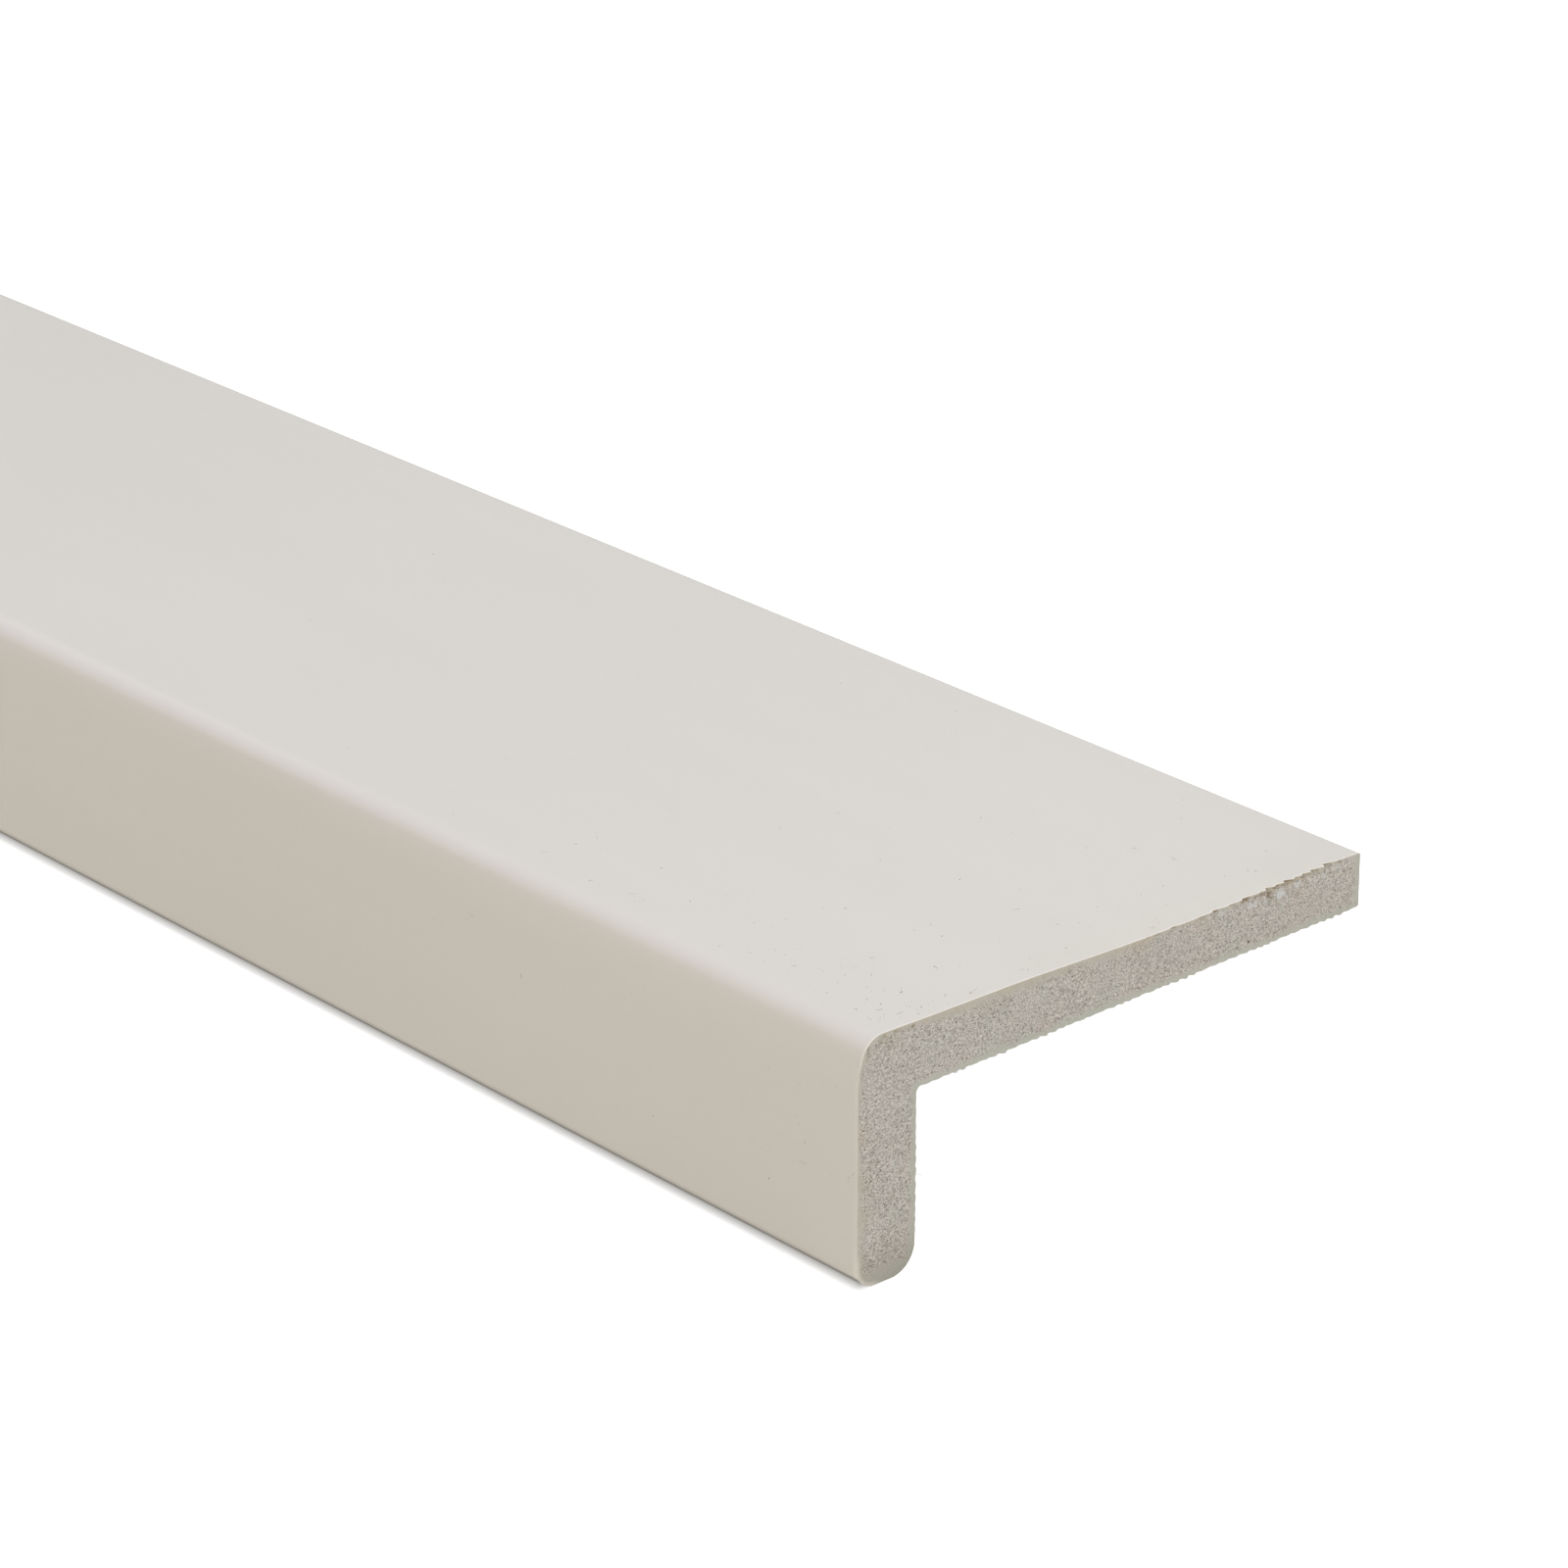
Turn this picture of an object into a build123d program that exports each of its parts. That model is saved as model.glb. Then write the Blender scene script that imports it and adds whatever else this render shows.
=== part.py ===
from build123d import *

import os
from math import asin, atan2, cos, degrees, hypot, radians, sin, tan

# Fascia cover board of cream cellular PVC: one extruded length of L section.
#
# A wide flange covers the old board, and a short leg, rounded at its nose and toe, hangs from one
# edge. The board is one piece of stock with square sawn ends, so it is one solid.
#
# It lies unheld on a level floor, leg down, on two lines: the toe of the leg and the free edge of
# the flange. The section is drawn square in its own axes and then turned by the tilt that brings
# both lines down to the floor.
#
# Millimetres. X runs along the board, Y across it from the leg to the free edge, Z is up. The
# origin is on the floor, under the middle of the board.

# Length of the board, as such boards are sold
board_length = 2500.0

# Flange: full width from the face of the leg to the free edge, and its thickness at both ends
flange_width = 100.0
flange_thickness_at_leg = 10.3
flange_thickness_at_edge = 8.7

# Leg: full height from the top of the flange to the toe, and the thickness of its wall
leg_height = 38.7
leg_thickness = 10.9

# Nose between the flange and the leg: a tight round that eases into the face of the leg
nose_radius = 3.6
ease_radius = 14.0
ease_turn = 22.5

# Rounds of the toe, of the inner corner and of the two corners of the free edge
toe_face_radius = 3.1
toe_inner_radius = 4.3
inner_corner_radius = 0.8
edge_radius = 0.3

# How far the nose reaches onto the top of the flange
ease_angle = radians(ease_turn)
nose_reach = nose_radius * cos(ease_angle) + ease_radius * (1 - cos(ease_angle))

# Corners of the section before they are rounded: x across the flange, y out of its top
toe_face_corner = (0, -leg_height)
toe_inner_corner = (leg_thickness, -leg_height)
inner_corner = (leg_thickness, -flange_thickness_at_leg)
edge_lower_corner = (flange_width, -flange_thickness_at_edge)
edge_upper_corner = (flange_width, 0)
corner_radii = (
    (toe_face_corner, toe_face_radius),
    (toe_inner_corner, toe_inner_radius),
    (inner_corner, inner_corner_radius),
    (edge_lower_corner, edge_radius),
    (edge_upper_corner, edge_radius),
)

with BuildSketch() as section:
    with BuildLine():
        top = Line(edge_upper_corner, (nose_reach, 0))
        nose = JernArc(top @ 1, top % 1, nose_radius, 90 - ease_turn)
        ease = JernArc(nose @ 1, nose % 1, ease_radius, ease_turn)
        Polyline(
            ease @ 1,
            toe_face_corner,
            toe_inner_corner,
            inner_corner,
            edge_lower_corner,
            edge_upper_corner,
        )
    make_face()
    for corner, radius in corner_radii:
        fillet(section.vertices().sort_by_distance(corner)[0], radius)

# Centres of the two rounds that touch the floor. The underside of the flange slopes, so the
# lower round of the free edge sits a little above the corner that it rounds
underside_slope = atan2(
    flange_thickness_at_leg - flange_thickness_at_edge, flange_width - leg_thickness
)
toe_centre = (leg_thickness - toe_inner_radius, toe_inner_radius - leg_height)
edge_centre = (
    flange_width - edge_radius,
    edge_radius / cos(underside_slope) - edge_radius * tan(underside_slope) - flange_thickness_at_edge,
)

# Tilt at which the undersides of both rounds are level
centre_run = edge_centre[0] - toe_centre[0]
centre_rise = edge_centre[1] - toe_centre[1]
tilt = atan2(centre_rise, centre_run) + asin(
    (toe_inner_radius - edge_radius) / hypot(centre_run, centre_rise)
)

# Plane of the sawn end at the low X side: the section's own x runs down the tilt to the free edge
resting = section.sketch.rotate(Axis.Z, -degrees(tilt)).bounding_box()
end_plane = Plane(
    origin=(-board_length / 2, -resting.center().X, -resting.min.Y),
    x_dir=(0, cos(tilt), -sin(tilt)),
    z_dir=(1, 0, 0),
)

with BuildPart() as fascia_board:
    with BuildSketch(end_plane):
        add(section.sketch)
    extrude(amount=board_length)

fascia_board.part.label = "fascia_board"

os.makedirs("parts", exist_ok=True)
export_step(fascia_board.part, "parts/fascia_board.step")

print(f"tilt at rest {degrees(tilt):.3f} degrees")
print(f"section {section.sketch.area:.1f} mm2, solid {fascia_board.part.volume / 1e9:.6f} m3")
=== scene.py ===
from math import asin, atan2, cos, degrees, floor, hypot, pi, radians, sin, tan
from random import Random

import bmesh
import bpy
from mathutils import Matrix, Vector, noise


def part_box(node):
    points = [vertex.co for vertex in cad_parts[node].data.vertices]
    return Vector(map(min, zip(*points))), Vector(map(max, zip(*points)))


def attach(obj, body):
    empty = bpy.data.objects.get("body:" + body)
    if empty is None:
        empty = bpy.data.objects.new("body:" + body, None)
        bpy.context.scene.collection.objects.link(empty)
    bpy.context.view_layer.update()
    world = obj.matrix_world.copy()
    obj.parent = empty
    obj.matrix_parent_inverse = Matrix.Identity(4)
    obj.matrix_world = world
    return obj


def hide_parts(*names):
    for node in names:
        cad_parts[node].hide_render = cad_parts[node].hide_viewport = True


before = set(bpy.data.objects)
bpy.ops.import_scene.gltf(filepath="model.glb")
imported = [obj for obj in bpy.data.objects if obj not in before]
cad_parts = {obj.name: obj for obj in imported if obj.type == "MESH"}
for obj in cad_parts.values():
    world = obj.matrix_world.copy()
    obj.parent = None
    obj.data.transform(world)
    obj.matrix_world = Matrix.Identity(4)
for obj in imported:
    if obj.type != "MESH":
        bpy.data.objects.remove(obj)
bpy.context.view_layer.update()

print("frame loaded")

# The board is drawn in millimetres in its own axes: x along it and 0 at the sawn end, y across
# from the face of the leg, z out of the top of the flange. It is scaled and laid down at the end.
mm = 0.001

board = {
    "length": 2500.0,
    "flangeWidth": 100.0,
    "flangeAtLeg": 10.3,
    "flangeAtEdge": 8.7,
    "legHeight": 38.7,
    "legThickness": 10.9,
    "noseRadius": 3.6,
    "easeRadius": 14.0,
    "easeTurn": radians(22.5),
    "toeFaceRadius": 3.1,
    "toeInnerRadius": 4.3,
    "innerCornerRadius": 0.8,
    "edgeRadius": 0.3,
}

# How finely the board is cut
boardMesh = {
    "nearCell": 0.2,         # mm, grid of the sawn end that the photograph shows
    "farCell": 0.5,
    "nearRings": (0.15, 0.3, 0.5, 0.8, 1.2, 1.8, 2.6, 3.6, 5.0, 7.0),
    "farRings": (0.3, 0.8, 2.0),
    "lengthCuts": (12.0, 25.0, 50.0, 100.0, 200.0, 400.0, 800.0, 1250.0, 1700.0, 2100.0, 2400.0),
    "edgeFacets": 4,
    "noseFacets": 14,
    "easeFacets": 10,
    "toeFaceFacets": 8,
    "toeInnerFacets": 12,
    "cornerFacets": 6,
    "touch": 0.0001,         # a corner this near a cut lies on it
    "weld": 0.001,
    "near": 0.01,            # a cell this near a face of the board lies on it
}
backSlope = atan2(
    board["flangeAtLeg"] - board["flangeAtEdge"], board["flangeWidth"] - board["legThickness"]
)
ease = board["easeTurn"]
noseReach = board["noseRadius"] * cos(ease) + board["easeRadius"] * (1 - cos(ease))
easeStart = board["noseRadius"] * (1 - sin(ease)) + board["easeRadius"] * sin(ease)


def backOfFlange(y):
    # height of the flange's underside, y across
    return (y - board["legThickness"]) * tan(backSlope) - board["flangeAtLeg"]


def restTilt():
    # the tilt that sets the toe and the free edge down on one floor
    toeY = board["legThickness"] - board["toeInnerRadius"]
    toeZ = board["toeInnerRadius"] - board["legHeight"]
    edgeY = board["flangeWidth"] - board["edgeRadius"]
    edgeZ = backOfFlange(edgeY) + board["edgeRadius"] / cos(backSlope)
    run, rise = edgeY - toeY, edgeZ - toeZ
    return atan2(rise, run) + asin((board["toeInnerRadius"] - board["edgeRadius"]) / hypot(run, rise))


def drawSection(bm):
    # the L with its corners cut round, one face at x = 0
    cfg = boardMesh
    noseCut = board["noseRadius"] * tan((pi / 2 - ease) / 2)
    easeCut = board["easeRadius"] * tan(ease / 2)
    innerCut = board["innerCornerRadius"] * tan((pi / 2 - backSlope) / 2)
    wide, tall, wall = board["flangeWidth"], board["legHeight"], board["legThickness"]
    corners = (
        (wide, 0, board["edgeRadius"], cfg["edgeFacets"]),
        (noseReach - noseCut, 0, noseCut, cfg["noseFacets"]),
        (0, easeCut - easeStart, easeCut, cfg["easeFacets"]),
        (0, -tall, board["toeFaceRadius"], cfg["toeFaceFacets"]),
        (wall, -tall, board["toeInnerRadius"], cfg["toeInnerFacets"]),
        (wall, -board["flangeAtLeg"], innerCut, cfg["cornerFacets"]),
        (wide, -board["flangeAtEdge"], board["edgeRadius"], cfg["edgeFacets"]),
    )
    verts = [bm.verts.new((0, y, z)) for y, z, cut, facets in corners]
    bm.faces.new(verts)
    for vert, (y, z, cut, facets) in zip(verts, corners):
        bmesh.ops.bevel(
            bm, geom=[vert], offset=cut, segments=facets, profile=0.5, affect="VERTICES", material=-1
        )
    bmesh.ops.remove_doubles(bm, verts=bm.verts[:], dist=cfg["weld"])


def cutThrough(bm, x):
    # cuts the whole mesh square across the board
    bmesh.ops.bisect_plane(
        bm,
        geom=bm.verts[:] + bm.edges[:] + bm.faces[:],
        dist=boardMesh["touch"],
        plane_co=(x, 0, 0),
        plane_no=(1, 0, 0),
    )


def sliceAcross(bm, faces, axis, places):
    # cuts the faces at each place along an axis, and leaves alone what lies behind the last cut
    normal = Vector((0, 0, 0))
    normal[axis] = 1
    ahead = set(faces)
    done = []
    for place in places:
        ahead, behind = splitBy(ahead, axis, place)
        done += behind
        if not ahead:
            break
        edges = {e for f in ahead for e in f.edges}
        verts = {v for e in edges for v in e.verts}
        cut = bmesh.ops.bisect_plane(
            bm,
            geom=list(verts) + list(edges) + list(ahead),
            dist=boardMesh["touch"],
            plane_co=normal * place,
            plane_no=normal,
        )
        ahead = {g for g in cut["geom"] if isinstance(g, bmesh.types.BMFace)}
    return done + list(ahead)


def splitBy(faces, axis, place):
    # the faces that reach past a place, and those that end before it
    ahead, behind = set(), []
    for face in faces:
        if max(v.co[axis] for v in face.verts) > place + 2 * boardMesh["touch"]:
            ahead.add(face)
        else:
            behind.append(face)
    return ahead, behind


def steps(low, high, size):
    count = max(1, round((high - low) / size))
    return [low + (high - low) * i / count for i in range(1, count)]


def cutCells(bm, endX, outward, cell, rings):
    # a fine grid on a sawn end, and on the sides as far back as the last ring
    for ring in rings:
        cutThrough(bm, endX - outward * ring)
    reach = rings[-1]
    zone = [f for f in bm.faces if abs(f.calc_center_median().x - endX) < reach]
    zone = sliceAcross(bm, zone, 1, steps(0, board["flangeWidth"], cell))
    sliceAcross(bm, zone, 2, steps(-board["legHeight"], 0, cell))


def makeBoardMesh():
    bm = bmesh.new()
    drawSection(bm)
    pulled = bmesh.ops.extrude_face_region(bm, geom=bm.faces[:])
    bmesh.ops.translate(
        bm,
        verts=[g for g in pulled["geom"] if isinstance(g, bmesh.types.BMVert)],
        vec=(-board["length"], 0, 0),
    )
    for place in boardMesh["lengthCuts"]:
        cutThrough(bm, -place)
    cutCells(bm, -board["length"], -1, boardMesh["farCell"], boardMesh["farRings"])
    cutCells(bm, 0, 1, boardMesh["nearCell"], boardMesh["nearRings"])
    bmesh.ops.recalc_face_normals(bm, faces=bm.faces[:])
    print("board cut into cells:", len(bm.faces), "faces")
    return bm


# Relief of the sawn end, in millimetres
sawnEnd = {
    "poreSize": 0.62,        # from one pore to the next
    "poreWall": (0.45, 0.95),
    "poreDepth": 0.06,
    "poreInRim": 0.25,       # share of the pores left where the foam is dense
    "patchSize": 4.5,        # patches with more and with fewer pores
    "patchMean": 0.72,
    "patchRange": 0.9,
    "grainSize": 0.38,
    "grainRange": 0.9,
    "grainDepth": 0.035,
    "grainInRim": 0.15,
    "waveSize": 9.0,
    "waveDepth": 0.12,
    "paleSmooth": 0.6,       # how much smoother crushed foam is
    "skinRim": 0.35,         # the relief fades towards the skin and the back over these widths
    "backRim": 0.25,
    "rimRelief": 0.1,
    "farStrength": 0.8,      # relief of the far end, which is plainly sawn
}

# The pattern of each kind of mark
seeds = {
    "pores": 41.7,
    "grain": 42.7,
    "waves": 43.7,
    "rim": 46.7,
    "backRim": 47.7,
    "patches": 50.7,
    "flakes": 62.7,
    "spots": 63.7,
    "burr": 72.7,
    "burrRough": 73.7,
    "burrTall": 74.7,
}

# Dense rim of the foam under the skin, wider in the nose, in one stretch of the flange, down the
# leg and above the toe
denseRim = {
    "opens": 0.1,
    "width": 1.0,
    "wander": 0.6,
    "wanderSize": 4.3,
    "inNose": 1.3,
    "noseMiddle": (1.4, -1.4),
    "noseSize": 2.6,
    "inFlange": 0.9,
    "flangeFrom": (8.0, 20.0),
    "flangeUntil": (48.0, 60.0),
    "inLeg": 1.1,
    "legFrom": (-18.0, -27.0),
    "backOpens": 0.3,
    "backWidth": 1.3,
    "backWander": 0.5,
    "backWanderSize": 3.1,
    "backLowLeg": (-27.0, -36.0),
    "toe": (1.0, 3.4),
}

# Flakes that the saw tore out of the top edge, as the photograph shows them: where each starts
# across the flange, its width, how far it reaches down, and how far back it is broken
tornFlakes = (
    (55.3, 1.3, 0.8, 0.20),
    (60.5, 2.3, 1.5, 0.34),
    (66.2, 1.4, 0.9, 0.18),
    (69.0, 2.5, 2.6, 0.55),
    (72.4, 2.1, 1.7, 0.26),
    (75.2, 3.4, 3.3, 0.60),
    (78.8, 1.6, 1.4, 0.36),
    (80.4, 1.9, 3.6, 1.00),
    (82.2, 2.0, 2.0, 0.60),
    (84.1, 1.9, 2.4, 1.10),
    (86.2, 1.7, 1.6, 0.60),
    (87.9, 1.8, 1.5, 0.75),
    (89.6, 2.7, 1.8, 0.90),
    (92.4, 2.9, 2.3, 1.35),
    (95.2, 1.2, 0.9, 0.30),
    (96.5, 1.3, 0.8, 0.22),
)
smallFlakes = {
    "seed": 11,
    "from": 40.0,
    "to": 98.0,
    "leastGap": 0.3,
    "gap": 1.3,              # mean distance between two, past the least one
    "width": (0.5, 1.3),
    "drop": (0.3, 0.8),
    "back": (0.03, 0.12),
}
flakeForm = {
    "waver": 0.3,            # how far a broken edge wanders, and over what distance
    "waverSize": 0.9,
    "lean": 0.12,
    "breaksIn": (-0.03, 0.12),
    "lip": 0.80,             # share of its depth at the top edge, and what is added below
    "belly": 0.3,
    "bellyFrom": 0.3,
}

# Pale swells of crushed foam below the flakes, partly a painted highlight where they face the light, and
# brown spots on them, partly the brown of the torn skin's section and partly painted shade under it:
# across the flange, down from the skin, half width, half height and strength
paleLitSwells = (
    (62.1, 0.7, 0.9, 0.5, 0.3),
    (71.1, 0.9, 0.9, 0.5, 0.7),
    (77.7, 1.8, 1.2, 0.6, 0.9),
    (80.4, 1.9, 1.0, 0.5, 0.6),
    (83.2, 1.7, 1.2, 0.7, 1.0),
    (85.4, 1.4, 0.9, 0.3, 0.5),
    (86.8, 1.2, 1.0, 0.5, 0.8),
    (89.2, 1.0, 0.7, 0.3, 0.4),
    (92.4, 1.5, 1.0, 0.5, 0.6),
    (95.1, 1.1, 1.2, 0.6, 0.5),
)
brownShadeSpots = (
    (57.9, 0.15, 0.7, 0.20, 0.6),
    (61.3, 0.15, 0.7, 0.22, 0.8),
    (66.9, 0.20, 0.8, 0.20, 0.4),
    (69.1, 0.30, 0.5, 0.30, 0.5),
    (69.9, 0.15, 0.6, 0.38, 1.0),
    (73.2, 0.20, 0.7, 0.20, 0.6),
    (75.9, 0.40, 1.1, 0.38, 1.0),
    (79.4, 0.50, 1.8, 0.36, 0.7),
    (80.9, 1.30, 0.8, 0.60, 1.0),
    (82.4, 0.30, 0.9, 0.26, 1.0),
    (84.3, 0.35, 0.8, 0.22, 0.7),
    (84.9, 0.20, 0.6, 0.26, 1.0),
    (86.1, 0.25, 0.8, 0.20, 0.7),
    (86.7, 3.00, 0.5, 0.42, 0.6),
    (88.3, 0.30, 0.8, 0.26, 1.0),
    (90.3, 0.35, 1.1, 0.22, 0.7),
    (93.1, 0.40, 0.4, 0.55, 0.9),
    (93.8, 0.15, 0.8, 0.20, 0.7),
    (94.6, 1.70, 0.8, 0.20, 0.4),
    (95.5, 0.15, 0.5, 0.22, 0.8),
)
noseScorches = (
    (1.9, 0.84, 0.20, 0.30, 0.5),
    (2.0, 0.48, 0.30, 0.25, 0.7),
    (4.2, 1.40, 0.25, 0.40, 0.6),
    (4.8, 0.50, 0.30, 0.25, 0.6),
    (6.0, 2.80, 0.45, 0.30, 0.5),
    (6.9, 0.50, 0.70, 0.18, 0.5),
    (8.2, 0.80, 0.60, 0.20, 0.6),
    (9.3, 0.80, 0.30, 0.22, 0.7),
    (10.2, 0.60, 0.45, 0.24, 0.9),
)

# How ragged these spots are, where they may stand, and how deep under the skin
spotForm = {
    "reach": 1.5,
    "ragged": 0.75,
    "raggedSize": 0.5,
    "fades": (0.5, 1.15),
    "edgeFrom": 38.0,        # y
    "noseUntil": 12.0,
    "deepest": 4.5,
}


def clamp(value, low=0.0, high=1.0):
    return min(high, max(low, value))


def smoothStep(low, high, value):
    t = clamp((value - low) / (high - low))
    return t * t * (3 - 2 * t)


def window(rise, fall, value):
    # 1 between a rise and a fall, 0 outside them
    return smoothStep(*rise, value) * (1 - smoothStep(*fall, value))


def fromLeast(least, share):
    return least + (1 - least) * share


def wave(y, z, size, seed):
    return noise.noise(Vector((y / size, z / size, seed)))


def cells(y, z, size, seed):
    # distance to the nearest cell centre, 0 in the middle of a cell
    return noise.voronoi(Vector((y / size, z / size, seed)))[0][0]


def faceAt(z):
    # y of the leg's face, which eases back towards the nose
    rise = max(0.0, z + easeStart)
    return board["easeRadius"] - (board["easeRadius"] ** 2 - rise ** 2) ** 0.5


def depths(y, z):
    # distance in from the show skin, in from the bare back, and up from the toe
    wall, tall, wide = board["legThickness"], board["legHeight"], board["flangeWidth"]
    below = z - backOfFlange(y)
    toToe = z + tall
    if y > wall:
        return -z, min(below, wide - y), toToe
    skin = min(-z, y - faceAt(z))
    if y < noseReach and z > -board["noseRadius"]:
        skin = board["noseRadius"] - hypot(noseReach - y, z + board["noseRadius"])
    back = wall - y if below < 0 else hypot(wall - y, below)
    return max(0.0, skin), min(back, toToe), toToe


def strewSmallFlakes():
    # the named flakes and the small ones between them, in order across the flange
    cfg = smallFlakes
    dice = Random(cfg["seed"])
    flakes = list(tornFlakes)
    y = cfg["from"]
    while y < cfg["to"]:
        size = [dice.uniform(*cfg[name]) for name in ("width", "drop", "back")]
        flakes.append((y, *size))
        y += cfg["leastGap"] + dice.expovariate(1 / cfg["gap"])
    return sorted(flakes)


allFlakes = strewSmallFlakes()


def tornAt(y, down):
    # how far back the torn edge lies
    cfg = flakeForm
    hollow = 0.0
    place = y + cfg["waver"] * wave(y, down, cfg["waverSize"], seeds["flakes"])
    for start, width, drop, back in allFlakes:
        across = (place - start) / width - cfg["lean"] * down / drop
        if cfg["breaksIn"][0] < across < 1 and down < drop:
            deep = down / drop
            ramp = smoothStep(*cfg["breaksIn"], across) * (1 - across)
            lip = cfg["lip"] + cfg["belly"] * smoothStep(0.0, cfg["bellyFrom"], deep)
            hollow = max(hollow, back * ramp * lip * (1 - deep * deep))
    return hollow


def spotAt(spots, y, down):
    # strength of the strongest of some ragged spots
    cfg = spotForm
    found = 0.0
    for across, under, halfWide, halfTall, strength in spots:
        if abs(y - across) < cfg["reach"] * halfWide:
            off = hypot((y - across) / halfWide, (down - under) / halfTall)
            off += cfg["ragged"] * wave(y, down, cfg["raggedSize"], seeds["spots"])
            found = max(found, strength * (1 - smoothStep(*cfg["fades"], off)))
    return found


def coreShare(y, z, skin, back, toToe):
    # 0 in the dense rim, 1 where the foam is open
    cfg = denseRim
    wander = wave(y, z, cfg["wanderSize"], seeds["rim"])
    noseY, noseZ = cfg["noseMiddle"]
    wider = 1 + cfg["inFlange"] * window(cfg["flangeFrom"], cfg["flangeUntil"], y)
    wider += cfg["inLeg"] * smoothStep(*cfg["legFrom"], z)
    wider += cfg["inNose"] * max(0.0, 1 - hypot(y - noseY, z - noseZ) / cfg["noseSize"])
    core = smoothStep(cfg["opens"], cfg["width"] * wider, skin + cfg["wander"] * wander)
    backWidth = cfg["backWidth"] * (1 + smoothStep(*cfg["backLowLeg"], z))
    backWander = cfg["backWander"] * wave(y, z, cfg["backWanderSize"], seeds["backRim"])
    core *= smoothStep(cfg["backOpens"], backWidth, back + backWander)
    return core * smoothStep(*cfg["toe"], toToe + wander)


def foamRelief(y, z, tearing):
    # how deep the sawn foam lies under the saw plane, and the marks that its finish reads
    cfg = sawnEnd
    skin, back, toToe = depths(y, z)
    core = coreShare(y, z, skin, back, toToe)
    hollow = pale = scarAndShade = 0.0
    marked = tearing and skin < spotForm["deepest"]
    if marked and y > spotForm["edgeFrom"]:
        hollow = tornAt(y, skin)
        # pale swells, partly painted highlight, and brown spots, partly painted shade under the torn skin
        pale = spotAt(paleLitSwells, y, skin)
        scarAndShade = spotAt(brownShadeSpots, y, skin)
    elif marked and y < spotForm["noseUntil"]:
        scarAndShade = spotAt(noseScorches, y, skin)
    patch = clamp(cfg["patchMean"] + cfg["patchRange"] * wave(y, z, cfg["patchSize"], seeds["patches"]))
    # pits, which the finish paints dark as painted shade in the hollows
    shadedPit = fromLeast(cfg["poreInRim"], core) * patch * (1 - pale)
    shadedPit *= smoothStep(*cfg["poreWall"], cells(y, z, cfg["poreSize"], seeds["pores"]))
    grain = clamp(0.5 + cfg["grainRange"] * wave(y, z, cfg["grainSize"], seeds["grain"]))
    grain *= fromLeast(cfg["grainInRim"], core) * (1 - cfg["paleSmooth"] * pale)
    slow = 0.5 + 0.5 * wave(y, z, cfg["waveSize"], seeds["waves"])
    depth = cfg["poreDepth"] * shadedPit + cfg["grainDepth"] * grain + cfg["waveDepth"] * slow
    return depth, hollow, (skin, back, toToe, core, shadedPit, pale, scarAndShade, toeRimHighlightAt(y, z))


# The top edge of the sawn end is rolled down: far in one stretch, and slightly nearly all along
topRoll = {
    "sink": 0.58,
    "sinks": (27.0, 57.0),   # across the flange, where it goes down and where it comes up again
    "rises": (62.0, 96.0),
    "slightSink": 0.10,
    "slightSinks": (6.0, 14.0),
    "slightRises": (90.0, 98.0),
    "length": 5.0,           # how far back along the board the roll and the flakes reach
    "fading": 1.5,           # how fast it fades down through the flange
}


def topSink(y):
    cfg = topRoll
    far = cfg["sink"] * window(cfg["sinks"], cfg["rises"], y)
    return far + cfg["slightSink"] * window(cfg["slightSinks"], cfg["slightRises"], y)


# Teeth that the saw left standing along the back edges
burrTeeth = {
    "tall": 0.36,
    "pitch": 1.9,
    "drift": 0.8,            # how unevenly they follow each other, and over what distance
    "driftSize": 5.0,
    "mean": 0.60,            # how tall each is, as a share
    "range": 1.2,
    "least": 0.4,
    "change": 0.37,          # from one tooth to the next
    "paleLitSwells": (0.0, 0.7),
    "breaks": (0.8, 1.0),
    "rough": 0.3,
    "roughSize": 0.7,
    "back": 0.8,             # how far back along the board they reach
    "edge": 0.02,            # how near the back a cell has to lie
    "fromLeg": 0.5,
    "fromEdge": 0.4,
    "fades": (96.5, 98.8),
    "onLeg": 0.45,           # the teeth on the leg, which are lower and differ from the others
    "legShift": 200.0,
    "legNear": 0.3,
    "aboveToe": 5.0,
}


def burr(along):
    # height of the teeth along a back edge: each swells slowly and breaks off short
    cfg = burrTeeth
    phase = along / cfg["pitch"] + cfg["drift"] * wave(along, 0, cfg["driftSize"], seeds["burr"])
    tooth = floor(phase)
    tall = cfg["mean"] + cfg["range"] * wave(tooth * cfg["change"], 0, 1.0, seeds["burrTall"])
    swell = window(cfg["paleLitSwells"], cfg["breaks"], phase - tooth)
    rough = cfg["rough"] * wave(along, 0, cfg["roughSize"], seeds["burrRough"])
    return cfg["tall"] * max(0.0, clamp(tall, cfg["least"]) * swell + rough)


def raiseBurr(vert, y, z, back, strength):
    cfg = burrTeeth
    keep = strength * (1 - smoothStep(0.0, cfg["back"], back))
    wall, wide = board["legThickness"], board["flangeWidth"]
    if wall + cfg["fromLeg"] < y < wide - cfg["fromEdge"]:
        vert.co.z -= keep * burr(y) * (1 - smoothStep(*cfg["fades"], y))
    elif abs(y - wall) < cfg["legNear"]:
        vert.co.y += cfg["onLeg"] * keep * burr(z + cfg["legShift"])


# The pale line along the cut edge of the skin, wider and fainter on the face of the leg: partly skin that
# the saw rubbed pale, partly a painted highlight on the edge
cutHighlightLine = {
    "width": (0.12, 0.5),
    "legUntil": 3.2,
    "legWidth": (0.3, 1.3),
    "onLeg": 0.3,
    "towardsToe": 0.5,
    "toeFrom": (-30.0, -36.0),
}


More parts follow.
